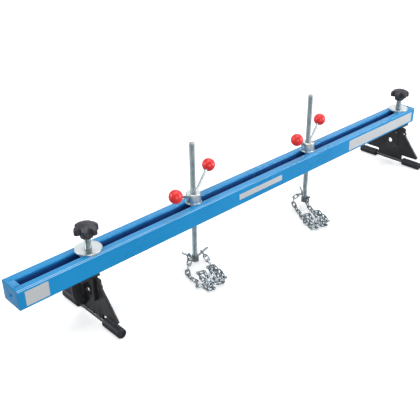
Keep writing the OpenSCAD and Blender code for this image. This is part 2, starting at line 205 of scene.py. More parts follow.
# Sparse scratches: thin bands of a stretched noise, broken up by clouds
def makeScratches(clouds):
    tree, start, end = newGroup(
        "scratches",
        [("Stretch", "NodeSocketVector", (6.0, 260.0, 260.0)), ("Amount", "NodeSocketFloat", 0.5)],
        [("Mask", "NodeSocketFloat")])
    patch = groupNode(tree, clouds, Scale=14.0, Spread=0.12)
    noise = stretchedNoise(tree, start, 1.0)
    off = mathNode(tree, "ABSOLUTE", mathNode(tree, "SUBTRACT", noise, 0.5))
    bandHalf = 0.012
    thin = ramp(tree, off, bandHalf, 0.0)
    broken = mathNode(tree, "MULTIPLY", thin, patch)
    wire(tree, mathNode(tree, "MULTIPLY", broken, start.outputs["Amount"]), end.inputs["Mask"])
    return tree


# Rubbed paint beside the slot, where washers and blocks slide, lighter along the slot's edge: partly wear
# and partly a painted highlight along that edge
def makeRubAndHighlight(clouds):
    tree, start, end = newGroup(
        "rub",
        [("Slot half", "NodeSocketFloat", beam["slotHalf"]), ("Width", "NodeSocketFloat", 0.0016),
         ("Depth", "NodeSocketFloat", 0.003), ("Top", "NodeSocketFloat", beam["top"])],
        [("Mask", "NodeSocketFloat")])
    axes = splitAxes(tree, objectPoint(tree))
    across = mathNode(tree, "SUBTRACT", mathNode(tree, "ABSOLUTE", axes["Y"]), start.outputs["Slot half"])
    near = ramp(tree, mathNode(tree, "ABSOLUTE", across), start.outputs["Width"], 0.0)
    low = mathNode(tree, "SUBTRACT", start.outputs["Top"], start.outputs["Depth"])
    high = ramp(tree, axes["Z"], low, start.outputs["Top"])
    patch = groupNode(tree, clouds, Scale=30.0, Detail=6.0, Spread=0.25)
    both = mathNode(tree, "MULTIPLY", near, high)
    wire(tree, mathNode(tree, "MULTIPLY", both, patch), end.inputs["Mask"])
    return tree


# Painted shade on the inner faces of the slot: darker deeper down, standing in for the shadow between the
# rails, and kept off the end plates
def makePaintedSlotShade():
    tree, start, end = newGroup(
        "paintedSlotShade",
        [("Slot half", "NodeSocketFloat", 0.0128), ("Top", "NodeSocketFloat", beam["top"]),
         ("Lip", "NodeSocketFloat", 0.002), ("Depth", "NodeSocketFloat", 0.018),
         ("End", "NodeSocketFloat", 0.745)],
        [("Mask", "NodeSocketFloat")])
    x, y, z = splitAxes(tree, objectPoint(tree))
    across = mathNode(tree, "ABSOLUTE", y)
    outer = mathNode(tree, "ADD", start.outputs["Slot half"], 0.0004)
    inner = mathNode(tree, "SUBTRACT", start.outputs["Slot half"], 0.0012)
    inside = mathNode(tree, "MULTIPLY", ramp(tree, across, outer, start.outputs["Slot half"]),
                      mathNode(tree, "GREATER_THAN", across, inner))
    low = mathNode(tree, "SUBTRACT", start.outputs["Top"], start.outputs["Depth"])
    high = mathNode(tree, "SUBTRACT", start.outputs["Top"], start.outputs["Lip"])
    deep = ramp(tree, z, high, low, 0.2, 1.0)
    between = ramp(tree, mathNode(tree, "ABSOLUTE", x), start.outputs["End"],
                   mathNode(tree, "SUBTRACT", start.outputs["End"], 0.001))
    both = mathNode(tree, "MULTIPLY", inside, deep)
    wire(tree, mathNode(tree, "MULTIPLY", both, between), end.inputs["Mask"])
    return tree


# Painted highlight: two fine bright lines along the rounded outer corner of a rail, standing in for
# reflections, fainter in places and towards the far end
def makePaintedGlints(clouds):
    tree, start, end = newGroup(
        "paintedGlints",
        [("Outer", "NodeSocketFloat", beam["outer"]), ("Top", "NodeSocketFloat", beam["top"]),
         ("Radius", "NodeSocketFloat", beam["corner"]), ("Width", "NodeSocketFloat", 0.22),
         ("Low angle", "NodeSocketFloat", 0.4), ("High angle", "NodeSocketFloat", 1.25)],
        [("Mask", "NodeSocketFloat")])
    x, y, z = splitAxes(tree, objectPoint(tree))
    side = mathNode(tree, "SUBTRACT", mathNode(tree, "ABSOLUTE", y),
                    mathNode(tree, "SUBTRACT", start.outputs["Outer"], start.outputs["Radius"]))
    rise = mathNode(tree, "SUBTRACT", z,
                    mathNode(tree, "SUBTRACT", start.outputs["Top"], start.outputs["Radius"]))
    angle = mathNode(tree, "ARCTAN2", rise, side)
    pair = []
    for label in ("Low angle", "High angle"):
        off = mathNode(tree, "ABSOLUTE", mathNode(tree, "SUBTRACT", angle, start.outputs[label]))
        pair.append(ramp(tree, off, start.outputs["Width"], 0.0))
    total = mathNode(tree, "ADD", pair[0], pair[1])
    gaps = ramp(tree, groupNode(tree, clouds, Scale=3.0, Detail=1.0), 0.0, 1.0, 0.45, 1.0)
    fade = ramp(tree, x, 0.05, -0.4, 0.25, 1.0)
    share = mathNode(tree, "MULTIPLY", gaps, fade)
    wire(tree, mathNode(tree, "MULTIPLY", total, share, clamp=True), end.inputs["Mask"])
    return tree


clouds = makeClouds()
lines = makeLines()
paintedSlotShade = makePaintedSlotShade()
paintedGlints = makePaintedGlints(clouds)
cells = makeCells()
scratches = makeScratches(clouds)
rub = makeRubAndHighlight(clouds)


def startMaterial(name):
    material = bpy.data.materials.new(name)
    material.use_nodes = True
    tree = material.node_tree
    shader = tree.nodes["Principled BSDF"]
    return material, tree, shader


# Sets values that are the same all over a surface on the shader's own sockets
def setSockets(shader, values):
    for label, value in values.items():
        shader.inputs[label].default_value = value


# Sets the roughness between two values, by a mask
def setRoughness(tree, shader, mask, low, high):
    wire(tree, ramp(tree, mask, 0.0, 1.0, low, high), shader.inputs["Roughness"])


def mixColours(tree, mask, first, second):
    node = addNode(tree, "ShaderNodeMix", data_type="RGBA")
    wire(tree, mask, node.inputs["Factor"])
    for socket, value in ((node.inputs[6], first), (node.inputs[7], second)):
        if isinstance(value, tuple):
            socket.default_value = (*value, 1.0)
        else:
            wire(tree, value, socket)
    return node.outputs[2]


def bump(tree, shader, height, strength, distance):
    node = addNode(tree, "ShaderNodeBump")
    node.inputs["Strength"].default_value = strength
    node.inputs["Distance"].default_value = distance
    wire(tree, height, node.inputs["Height"])
    wire(tree, node.outputs[0], shader.inputs["Normal"])


# Gloss blue powder coat with orange peel and faint scratches, painted shade in the slot, painted highlight
# lines on the rails' outer corners, and slot edges that are partly rubbed wear and partly painted highlight
def makeBluePaint():
    material, tree, shader = startMaterial("bluePaint")
    tone = groupNode(tree, clouds, Scale=9.0, Spread=0.22)
    colour = mixColours(tree, tone, (0.001, 0.220, 0.500), (0.002, 0.250, 0.560))
    marks = groupNode(tree, scratches, Amount=0.35)
    colour = mixColours(tree, marks, colour, (0.05, 0.30, 0.62))
    # Painted shade: the slot's inner faces turn dark navy deeper down
    colour = mixColours(tree, groupNode(tree, paintedSlotShade), colour, (0.040, 0.080, 0.340))
    # Painted highlight: pale lines along the rails' rounded outer corners, standing in for reflections
    colour = mixColours(tree, groupNode(tree, paintedGlints), colour, (0.66, 0.86, 1.00))
    # Partly wear and partly painted highlight: lighter blue along the slot's edges
    colour = mixColours(tree, groupNode(tree, rub), colour, (0.12, 0.36, 0.66))
    wire(tree, colour, shader.inputs["Base Color"])
    gloss = ramp(tree, tone, 0.0, 1.0, 0.25, 0.33)
    rough = mathNode(tree, "ADD", gloss, mathNode(tree, "MULTIPLY", marks, 0.35))
    wire(tree, rough, shader.inputs["Roughness"])
    setSockets(shader, {"Specular IOR Level": 0.3, "Coat Weight": 0.12, "Coat Roughness": 0.1})
    bump(tree, shader, groupNode(tree, cells, Scale=420.0, Waviness=0.8), 0.05, 0.0004)
    return material


# Satin black powder coat with a fine texture and grey scratches
def makeBlackPaint():
    material, tree, shader = startMaterial("blackPaint")
    tone = groupNode(tree, clouds, Scale=70.0, Detail=7.0, Spread=0.2)
    colour = mixColours(tree, tone, (0.009, 0.009, 0.011), (0.015, 0.015, 0.018))
    marks = groupNode(tree, scratches, Stretch=(90.0, 90.0, 12.0), Amount=0.3)
    colour = mixColours(tree, marks, colour, (0.09, 0.09, 0.095))
    wire(tree, colour, shader.inputs["Base Color"])
    setRoughness(tree, shader, tone, 0.28, 0.36)
    setSockets(shader, {"Coat Weight": 0.15, "Coat Roughness": 0.2})
    bump(tree, shader, groupNode(tree, cells, Scale=1300.0, Waviness=0.5), 0.14, 0.0003)
    return material


# Zinc plating with dull and pale clouds under turning or drawing lines
def makeZinc(name, dull, pale, stretch, cloudScale, gloss, depth, spread=0.12):
    material, tree, shader = startMaterial(name)
    tone = groupNode(tree, clouds, Scale=cloudScale, Detail=5.0, Spread=0.16)
    grain = groupNode(tree, lines, Stretch=stretch)
    faint = mathNode(tree, "MULTIPLY", grain, 0.2)
    colour = mixColours(tree, faint, mixColours(tree, tone, dull, pale), (0.34, 0.38, 0.40))
    wire(tree, colour, shader.inputs["Base Color"])
    fromLines, fromClouds = mathNode(tree, "MULTIPLY", grain, 0.6), mathNode(tree, "MULTIPLY", tone, 0.4)
    setRoughness(tree, shader, mathNode(tree, "ADD", fromLines, fromClouds), gloss, gloss + spread)
    setSockets(shader, {"Metallic": 1.0})
    bump(tree, shader, grain, depth, 0.0002)
    return material


# Black rubber with a dull bloom and a fine moulded skin
def makeRubber():
    material, tree, shader = startMaterial("footRubber")
    tone = groupNode(tree, clouds, Scale=90.0, Detail=8.0, Spread=0.18)
    colour = mixColours(tree, tone, (0.008, 0.009, 0.013), (0.020, 0.022, 0.030))
    wire(tree, colour, shader.inputs["Base Color"])
    setRoughness(tree, shader, tone, 0.42, 0.62)
    setSockets(shader, {"Specular IOR Level": 0.32})
    skin = groupNode(tree, cells, Scale=1700.0, Waviness=0.9)
    rings = groupNode(tree, lines, Stretch=(20.0, 1400.0, 20.0))
    bump(tree, shader, mathNode(tree, "ADD", skin, mathNode(tree, "MULTIPLY", rings, 0.5)), 0.2, 0.0003)
    return material


# Spark-eroded black plastic, duller in its grain
def makeKnobPlastic():
    material, tree, shader = startMaterial("knobPlastic")
    tone = groupNode(tree, clouds, Scale=160.0, Detail=6.0, Spread=0.15)
    colour = mixColours(tree, tone, (0.013, 0.013, 0.018), (0.034, 0.035, 0.044))
    wire(tree, colour, shader.inputs["Base Color"])
    setRoughness(tree, shader, tone, 0.38, 0.55)
    bump(tree, shader, groupNode(tree, cells, Scale=2100.0, Waviness=0.7), 0.22, 0.0003)
    return material


# Red moulded ball: gloss skin with faint flow marks
def makeRedPlastic():
    material, tree, shader = startMaterial("redPlastic")
    tone = groupNode(tree, clouds, Scale=55.0, Detail=3.0, Spread=0.25)
    colour = mixColours(tree, tone, (0.680, 0.012, 0.013), (0.780, 0.022, 0.022))
    wire(tree, colour, shader.inputs["Base Color"])
    setRoughness(tree, shader, tone, 0.3, 0.4)
    setSockets(shader, {"Coat Weight": 0.12, "Coat Roughness": 0.2,
                        "Subsurface Weight": 0.05, "Subsurface Scale": 0.003})
    bump(tree, shader, groupNode(tree, cells, Scale=240.0, Waviness=1.5), 0.03, 0.0004)
    return material


# Bare silver label: rolled foil with lines along its length
def makeLabelSilver():
    material, tree, shader = startMaterial("labelSilver")
    grain = groupNode(tree, lines, Stretch=(12.0, 1800.0, 1800.0))
    tone = groupNode(tree, clouds, Scale=30.0, Spread=0.2)
    faint = mathNode(tree, "MULTIPLY", grain, 0.5)
    wire(tree, mixColours(tree, faint, (0.66, 0.68, 0.69), (0.50, 0.52, 0.53)), shader.inputs["Base Color"])
    setRoughness(tree, shader, tone, 0.38, 0.5)
    setSockets(shader, {"Metallic": 0.6})
    bump(tree, shader, grain, 0.06, 0.0001)
    return material


zincPlate = dict(name="zincPlate", dull=(0.25, 0.29, 0.32), pale=(0.36, 0.40, 0.42),
                 stretch=(500.0, 500.0, 30.0), cloudScale=45.0, gloss=0.26, depth=0.03)
chainZinc = dict(name="chainZinc", dull=(0.25, 0.29, 0.32), pale=(0.45, 0.50, 0.52),
                 stretch=(240.0, 240.0, 240.0), cloudScale=130.0, gloss=0.17, depth=0.05)
turnedZinc = dict(name="turnedZinc", dull=(0.60, 0.66, 0.69), pale=(0.70, 0.73, 0.73),
                  stretch=(14.0, 14.0, 2500.0), cloudScale=24.0, gloss=0.27, depth=0.01, spread=0.08)
threadZinc = dict(name="threadZinc", dull=(0.26, 0.33, 0.35), pale=(0.38, 0.44, 0.46),
                  stretch=(300.0, 300.0, 60.0), cloudScale=50.0, gloss=0.28, depth=0.02)
looks = {
    "blue_paint": makeBluePaint(),
    "black_paint": makeBlackPaint(),
    "zinc_plate": makeZinc(**zincPlate),
    "chain_zinc": makeZinc(**chainZinc),
    "foot_rubber": makeRubber(),
    "knob_plastic": makeKnobPlastic(),
    "red_plastic": makeRedPlastic(),
}
turnedFinish = makeZinc(**turnedZinc)
threadFinish = makeZinc(**threadZinc)
labelFinish = makeLabelSilver()
print("scene: materials ready")


# Every CAD node takes its slot's material. Later pieces replace some of them
slotOf = {entry["node"]: entry["material_slot"] for entry in frame["record"]["subparts"]}
for name, node in nodes.items():
    for slot in node.material_slots:
        slot.material = looks[slotOf[name]]


# Adds a finished mesh as a piece of a body. Edges sharper than smooth, in degrees, stay sharp
def addPiece(name, mesh, body, slot, replaced=(), material=None, smooth=40.0):
    mesh.name = name
    mesh.materials.clear()
    mesh.materials.append(material or looks[slot])
    mesh.shade_smooth()
    mesh.set_sharp_from_angle(angle=math.radians(smooth))
    piece = bpy.data.objects.new(name, mesh)
    bpy.context.scene.collection.objects.link(piece)
    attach(piece, body)
    for node in replaced:
        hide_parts(node)
    return piece


# A closed skin over rings of points. A ring of one point is a pole, and loop joins the last to the first
def skinMesh(rings, loop=False):
    mesh = bpy.data.meshes.new("skin")
    points, faces, starts = [], [], []
    for ring in rings:
        starts.append(len(points))
        points.extend(ring)
    pairs = list(zip(range(len(rings)), range(1, len(rings))))
    if loop:
        pairs.append((len(rings) - 1, 0))
    for a, b in pairs:
        na, nb = len(rings[a]), len(rings[b])
        count = max(na, nb)
        for k in range(count):
            n = (k + 1) % count
            corners = [starts[a] + k % na, starts[a] + n % na, starts[b] + n % nb, starts[b] + k % nb]
            face = []
            for corner in corners:
                if corner not in face:
                    face.append(corner)
            faces.append(face)
    mesh.from_pydata(points, [], faces)
    outward(mesh)
    return mesh


# Turns all faces outwards, and closes open ends where asked
def outward(mesh, close=False):
    work = bmesh.new()
    work.from_mesh(mesh)
    if close:
        bmesh.ops.holes_fill(work, edges=[edge for edge in work.edges if len(edge.link_faces) == 1])
    bmesh.ops.recalc_face_normals(work, faces=work.faces)
    work.to_mesh(mesh)
    work.free()


def circleRing(radius, z, count):
    if radius == 0:
        return [Vector((0, 0, z))]
    angles = [2 * math.pi * k / count for k in range(count)]
    return [Vector((radius * math.cos(angle), radius * math.sin(angle), z)) for angle in angles]


# Rounds each corner of a closed profile of (radius, height, rounding), in millimetres
def roundProfile(corners, steps=4):
    profile = []
    count = len(corners)
    for index, (r, z, rounding) in enumerate(corners):
        here = Vector((r, z))
        if rounding == 0:
            profile.append(here)
            continue
        before = (Vector(corners[index - 1][:2]) - here).normalized()
        after = (Vector(corners[(index + 1) % count][:2]) - here).normalized()
        first, last = here + before * rounding, here + after * rounding
        for step in range(steps + 1):
            t = step / steps
            profile.append(first * (1 - t) ** 2 + here * 2 * t * (1 - t) + last * t ** 2)
    return profile


def lathe(corners, count=96, loop=True):
    profile = roundProfile(corners)
    return skinMesh([circleRing(p.x * mm, p.y * mm, count) for p in profile], loop=loop)


def moved(mesh, matrix):
    mesh.transform(matrix)
    return mesh


def joined(meshes):
    work = bmesh.new()
    for mesh in meshes:
        work.from_mesh(mesh)
    result = bpy.data.meshes.new("joined")
    work.to_mesh(result)
    work.free()
    return result


# A copy of a CAD node with its sharp edges eased by a width in millimetres, as on cut and painted plate
def easedCopy(name, width):
    work = bmesh.new()
    work.from_mesh(nodes[name].data)
    bmesh.ops.remove_doubles(work, verts=work.verts, dist=1e-6)
    flat, sharpest = math.radians(0.5), math.radians(40)
    bmesh.ops.dissolve_limit(work, angle_limit=flat, verts=work.verts, edges=work.edges)
    sharp = [edge for edge in work.edges
             if len(edge.link_faces) == 2 and edge.calc_face_angle(0.0) > sharpest]
    bmesh.ops.bevel(work, geom=sharp, offset=width * mm, segments=2, profile=0.5,
                    affect="EDGES", clamp_overlap=True)
    mesh = bpy.data.meshes.new(name)
    work.to_mesh(mesh)
    work.free()
    return mesh


# Geometry node trees

def newTree(name, inputs):
    tree = bpy.data.node_groups.new(name, "GeometryNodeTree")
    for label, kind, value in inputs:
        socket = tree.interface.new_socket(label, in_out="INPUT", socket_type=kind)
        if value is not None:
            socket.default_value = value
    tree.interface.new_socket("Geometry", in_out="OUTPUT", socket_type="NodeSocketGeometry")
    return tree, tree.nodes.new("NodeGroupInput"), tree.nodes.new("NodeGroupOutput")


# The mesh that a tree makes from the given inputs
def bakeTree(tree, values):
    holder = bpy.data.objects.new(tree.name, bpy.data.meshes.new(tree.name))
    bpy.context.scene.collection.objects.link(holder)
    modifier = holder.modifiers.new(tree.name, "NODES")
    modifier.node_group = tree
    for item in tree.interface.items_tree:
        if item.item_type == "SOCKET" and item.in_out == "INPUT" and item.name in values:
            modifier[item.identifier] = values[item.name]
    holder.update_tag()
    graph = bpy.context.evaluated_depsgraph_get()
    graph.update()
    mesh = bpy.data.meshes.new_from_object(holder.evaluated_get(graph))
    holder.modifiers.clear()
    bpy.data.objects.remove(holder)
    return mesh


def finishTree(tree, start, end, geometry):
    realized = addNode(tree, "GeometryNodeRealizeInstances")
    dressed = addNode(tree, "GeometryNodeSetMaterial")
    wire(tree, geometry, realized.inputs[0])
    wire(tree, realized.outputs[0], dressed.inputs["Geometry"])
    wire(tree, start.outputs["Material"], dressed.inputs["Material"])
    wire(tree, dressed.outputs[0], end.inputs[0])


# A cylinder on the Z axis, cut into the given number of rows
def barNode(tree, start, rows):
    bar = addNode(tree, "GeometryNodeMeshCylinder", fill_type="NGON")
    wire(tree, start.outputs["Sides"], bar.inputs["Vertices"])
    wire(tree, rows, bar.inputs["Side Segments"])
    wire(tree, start.outputs["Radius"], bar.inputs["Radius"])
    wire(tree, start.outputs["Length"], bar.inputs["Depth"])
    return bar


# Sets the bar's points to the given axes, with X and Y scaled by a factor
def scaledBar(tree, bar, axes, factor):
    x, y, z = axes
    spot = addNode(tree, "ShaderNodeCombineXYZ")
    wire(tree, mathNode(tree, "MULTIPLY", x, factor), spot.inputs[0])
    wire(tree, mathNode(tree, "MULTIPLY", y, factor), spot.inputs[1])
    wire(tree, z, spot.inputs[2])
    shape = addNode(tree, "GeometryNodeSetPosition")
    wire(tree, bar.outputs["Mesh"], shape.inputs["Geometry"])
    wire(tree, spot.outputs[0], shape.inputs["Position"])
    return shape.outputs[0]


# A bar on the Z axis with a right-hand thread: each point's radius follows its height less its angle
def makeThreadTree():
    tree, start, end = newTree("threadedBar", [
        ("Radius", "NodeSocketFloat", 0.007), ("Length", "NodeSocketFloat", 0.33),
        ("Pitch", "NodeSocketFloat", 0.002), ("Depth", "NodeSocketFloat", 0.0011),
        ("Sides", "NodeSocketInt", 40), ("Steps per turn", "NodeSocketInt", 8),
        ("Chamfer", "NodeSocketFloat", 0.0012), ("Foot", "NodeSocketVector", (0.0, 0.0, 0.0)),
        ("Material", "NodeSocketMaterial", None)])
    turns = mathNode(tree, "DIVIDE", start.outputs["Length"], start.outputs["Pitch"])
    rows = mathNode(tree, "CEIL", mathNode(tree, "MULTIPLY", turns, start.outputs["Steps per turn"]))
    bar = barNode(tree, start, rows)
    place = addNode(tree, "GeometryNodeInputPosition")
    x, y, z = splitAxes(tree, place.outputs[0])
    angle = mathNode(tree, "DIVIDE", mathNode(tree, "ARCTAN2", y, x), 2 * math.pi)
    phase = mathNode(tree, "SUBTRACT", mathNode(tree, "DIVIDE", z, start.outputs["Pitch"]), angle)
    wave = mathNode(tree, "MULTIPLY", mathNode(tree, "PINGPONG", phase, 0.5), 2.0)
    flank = mathNode(tree, "SUBTRACT", mathNode(tree, "MULTIPLY", wave, 1.35), 0.17, clamp=True)
    cut = mathNode(tree, "MULTIPLY", flank, start.outputs["Depth"])
    half = mathNode(tree, "DIVIDE", start.outputs["Length"], 2.0)
    inset = mathNode(tree, "SUBTRACT", half, mathNode(tree, "ABSOLUTE", z))
    bevel = mathNode(tree, "MAXIMUM", mathNode(tree, "SUBTRACT", start.outputs["Chamfer"], inset), 0.0)
    radius = mathNode(tree, "SUBTRACT", start.outputs["Radius"], mathNode(tree, "MAXIMUM", cut, bevel))
    factor = mathNode(tree, "DIVIDE", radius, start.outputs["Radius"])
    shape = scaledBar(tree, bar, (x, y, mathNode(tree, "ADD", z, half)), factor)
    shift = addNode(tree, "GeometryNodeTransform")
    wire(tree, shape, shift.inputs["Geometry"])
    wire(tree, start.outputs["Foot"], shift.inputs["Translation"])
    finishTree(tree, start, end, shift.outputs[0])
    return tree


# A weld bead on the Z axis with crescent ripples and tapered ends, turned and moved into its seam
def makeBeadTree():
    tree, start, end = newTree("weldBead", [
        ("Radius", "NodeSocketFloat", 0.002), ("Length", "NodeSocketFloat", 0.05),
        ("Step", "NodeSocketFloat", 0.0018), ("Ripple", "NodeSocketFloat", 0.18),
        ("Sides", "NodeSocketInt", 20), ("Rows per step", "NodeSocketInt", 6),
        ("Unevenness", "NodeSocketFloat", 0.4), ("Grain", "NodeSocketFloat", 160.0),
        ("Seed", "NodeSocketFloat", 3.0), ("Turn", "NodeSocketVector", (0.0, 0.0, 0.0)),
        ("Middle", "NodeSocketVector", (0.0, 0.0, 0.0)), ("Material", "NodeSocketMaterial", None)])
    steps = mathNode(tree, "DIVIDE", start.outputs["Length"], start.outputs["Step"])
    rows = mathNode(tree, "CEIL", mathNode(tree, "MULTIPLY", steps, start.outputs["Rows per step"]))
    bar = barNode(tree, start, rows)
    place = addNode(tree, "GeometryNodeInputPosition")
    x, y, z = splitAxes(tree, place.outputs[0])
    side = mathNode(tree, "POWER", mathNode(tree, "DIVIDE", y, start.outputs["Radius"]), 2.0)
    # The added hundred keeps the phase above zero at both ends
    along = mathNode(tree, "DIVIDE", z, start.outputs["Step"])
    phase = mathNode(tree, "FRACT", mathNode(tree, "ADD", along, mathNode(tree, "ADD", side, 100.0)))
    ripple = mathNode(tree, "MULTIPLY", phase, start.outputs["Ripple"])
    noise = addNode(tree, "ShaderNodeTexNoise", noise_dimensions="4D")
    wire(tree, start.outputs["Grain"], noise.inputs["Scale"])
    wire(tree, place.outputs[0], noise.inputs["Vector"])
    wire(tree, start.outputs["Seed"], noise.inputs["W"])
    middled = mathNode(tree, "SUBTRACT", noise.outputs[0], 0.5)
    uneven = mathNode(tree, "MULTIPLY", middled, start.outputs["Unevenness"])
    half = mathNode(tree, "DIVIDE", start.outputs["Length"], 2.0)
    inset = mathNode(tree, "SUBTRACT", half, mathNode(tree, "ABSOLUTE", z))
    fromEnd = mathNode(tree, "DIVIDE", inset, start.outputs["Radius"])
    taper = mathNode(tree, "SQRT", mathNode(tree, "MULTIPLY", fromEnd, 0.7, clamp=True))
    swell = mathNode(tree, "ADD", mathNode(tree, "MULTIPLY", taper, 0.8), 0.2)
    rough = mathNode(tree, "ADD", mathNode(tree, "SUBTRACT", 1.0, ripple), uneven)
    factor = mathNode(tree, "MULTIPLY", rough, swell)
    shift = addNode(tree, "GeometryNodeTransform")
    wire(tree, scaledBar(tree, bar, (x, y, z), factor), shift.inputs["Geometry"])
    wire(tree, start.outputs["Turn"], shift.inputs["Rotation"])
    wire(tree, start.outputs["Middle"], shift.inputs["Translation"])
    finishTree(tree, start, end, shift.outputs[0])
    return tree


threadTree = makeThreadTree()
beadTree = makeBeadTree()
print("scene: trees ready")


# Threaded rods and clamp studs, a hair thinner than their solids
liftRod = dict(title="ThreadedRod", node="_lift_rod", body="_hook", at="lift",
               radius=0.00698, length=0.330, foot={"left": 0.016, "right": 0.023})
clampStud = dict(title="ClampThread", node="_clamp_stud", body="_screw", at="clamp",
                 radius=0.00798, length=0.074, foot={"left": 0.163, "right": 0.163})
for facts in (liftRod, clampStud):
    for side, at in places.items():
        foot = (at[facts["at"]], 0.0, facts["foot"][side])
        mesh = bakeTree(threadTree, {"Radius": facts["radius"], "Length": facts["length"],
                                     "Foot": foot, "Material": threadFinish})
        addPiece(side + facts["title"], mesh, side + facts["body"], "zinc_plate",
                 [side + facts["node"]], threadFinish, smooth=60)
print("scene: threads ready")


# Star knobs: a round hub with a blind bore, then six lobes under a crown. Millimetres over the knob's foot
knob = dict(rim=24.6, top=36.0, crownReach=29.5, bore=8.05, boreDepth=20.0,
            lobeAt=22.0, lobe=7.5, hollow=4.6, lobeFoot=12.0, lowEdge=1.5, edge=2.8,
            hub=((13.4, 0.0), (14.5, 0.5), (15.0, 1.6), (15.0, 9.5), (15.3, 11.2), (16.6, 12.0)),
            count=144, foot=0.217, turn={"left": 49.0, "right": 10.0})


# Radius of the star at an angle: circles of two sizes that meet smoothly, one for lobes and one for hollows
def lobeRadius(angle):
    half = 30.0
    fromLobe = abs((math.degrees(angle) + half) % (2 * half) - half)
    along = math.radians(fromLobe)
    reach = knob["lobe"] + knob["hollow"]
    hollowAt = (knob["lobeAt"] * math.cos(math.radians(half))
                + math.sqrt(reach ** 2 - (knob["lobeAt"] * 0.5) ** 2))
    lobeCentre = Vector((knob["lobeAt"], 0.0))
    hollowCentre = Vector((hollowAt * math.cos(math.radians(half)), hollowAt * 0.5))
    meet = lobeCentre.lerp(hollowCentre, knob["lobe"] / reach)
    if fromLobe < math.degrees(math.atan2(meet.y, meet.x)):
        across = knob["lobeAt"] * math.sin(along)
        return knob["lobeAt"] * math.cos(along) + math.sqrt(knob["lobe"] ** 2 - across ** 2)
    back = math.radians(half) - along
    across = hollowAt * math.sin(back)
    return hollowAt * math.cos(back) - math.sqrt(max(knob["hollow"] ** 2 - across ** 2, 0.0))


# Height of the crown's sphere at a radius
def crownHeight(radius):
    rise = knob["top"] - knob["rim"]
    sphere = (knob["crownReach"] ** 2 + rise ** 2) / (2 * rise)
    return knob["top"] - sphere + math.sqrt(sphere ** 2 - radius ** 2)


def knobMesh(turn):
    angles = [2 * math.pi * k / knob["count"] for k in range(knob["count"])]
    bore, depth, edge, lowEdge = knob["bore"], knob["boreDepth"], knob["edge"], knob["lowEdge"]
    hubReach, lobeFoot = knob["hub"][-1][0], knob["lobeFoot"]

    def ring(radiusOf, heightOf):
        points = []
        for angle in angles:
            radius = radiusOf(angle)
            points.append(Vector((radius * math.cos(angle + turn) * mm, radius * math.sin(angle + turn) * mm,
                                  heightOf(radius, angle) * mm)))
        return points

    def level(z):
        return lambda radius, angle: z

    # The top edge bends from the lobe's side up to the crown
    def edgeHeight(angle, bend):
        side = crownHeight(lobeRadius(angle))
        inner = crownHeight(max(lobeRadius(angle) - edge, 0))
        return side - edge + edge * math.sin(bend) + (inner - side) * math.sin(bend)

    rings = [[Vector((0, 0, depth * mm))]]
    for radius, z in ((bore - 1, depth), (bore, depth - 0.5), (bore, 0.8), (bore + 0.8, 0.0), *knob["hub"]):
        rings.append(ring(lambda angle, r=radius: r, level(z)))
    for share in (0.35, 0.7):
        rings.append(ring(lambda angle, s=share: hubReach + (lobeRadius(angle) - lowEdge - hubReach) * s,
                          level(lobeFoot)))
    for step in range(4):
        bend = math.radians(30 * step)
        rings.append(ring(lambda angle, b=bend: lobeRadius(angle) - lowEdge + lowEdge * math.sin(b),
                          level(lobeFoot + lowEdge - lowEdge * math.cos(bend))))
    for step in range(7):
        bend = math.radians(15 * step)
        rings.append(ring(lambda angle, b=bend: lobeRadius(angle) - edge + edge * math.cos(b),
                          lambda radius, angle, b=bend: edgeHeight(angle, b)))
    for share in (0.85, 0.68, 0.5, 0.34, 0.18, 0.06):
        rings.append(ring(lambda angle, s=share: (lobeRadius(angle) - edge) * s,
                          lambda radius, angle: crownHeight(radius)))
    rings.append([Vector((0, 0, knob["top"] * mm))])
    return skinMesh(rings)


for side, at in places.items():
    mesh = knobMesh(math.radians(knob["turn"][side]))
    addPiece(side + "StarKnob", moved(mesh, Matrix.Translation((at["clamp"], 0, knob["foot"]))),
             side + "_knob", "knob_plastic", [side + "_star_knob"], smooth=50)
print("scene: knobs ready")


# Turned pieces: washers, nuts and foot sleeves, as closed profiles of (radius, height, rounding)
washer = [(8.5, 0, 0.4), (32, 0, 0.8), (32, 5, 1.2), (29.5, 5, 0.5), (28.9, 4.7, 0.4), (13.2, 4.7, 0.4),
          (12.6, 5, 0.4), (8.5, 5, 0.7)]
thrust = [(7.5, 0, 0.3), (21, 0, 0.5), (21, 2.5, 0.8), (7.5, 2.5, 0.4)]
nut = [(7.05, 0, 0.6), (17.5, 0, 0.4), (17.5, 2, 0.2), (19.5, 2, 0.7), (19.5, 23.5, 0.8), (17.5, 25.5, 0.7),
       (11.5, 25.5, 0.3), (10.9, 25.1, 0.3), (8.4, 25.1, 0.3), (7.05, 24.0, 0.5)]
sleeve = [(6.05, 0, 0.5), (10.6, 0, 0.6), (12, 1.6, 0.9), (12, 62.4, 0.9), (10.6, 64, 0.6), (6.05, 64, 0.5)]
hair = 0.00005  # keeps faces that rest on each other out of one plane
turned = [
    dict(title="ClampWasher", node="_clamp_washer", body="_foot", at="clamp", profile=washer, count=128,
         z=beam["top"] + hair),
    dict(title="ThrustWasher", node="_thrust_washer", body="_carriage", at="lift", profile=thrust, count=96,
         z=beam["top"] + hair),
    dict(title="LiftNut", node="_lift_nut", body="_nut", at="lift", profile=nut, count=96,
         z=beam["top"] + 0.0025 + 2 * hair),
]
for side, at in places.items():
    for facts in turned:
        spot = Matrix.Translation((at[facts["at"]], 0, facts["z"]))
        addPiece(side + facts["title"], moved(lathe(facts["profile"], facts["count"]), spot),
                 side + facts["body"], "zinc_plate", [side + facts["node"]], turnedFinish)

footRod = dict(bareHalf=0.052, height=0.012)
for side, at in places.items():
    for end, sign in (("front", -1), ("rear", 1)):
        turn = Matrix.Rotation(math.radians(-90 * sign), 4, "X")
        spot = Matrix.Translation((at["foot"], sign * footRod["bareHalf"], footRod["height"]))
        addPiece(side + end.title() + "Sleeve", moved(lathe(sleeve), spot @ turn), side + "_foot",
                 "foot_rubber", [side + "_" + end + "_sleeve"])
print("scene: turned pieces ready")


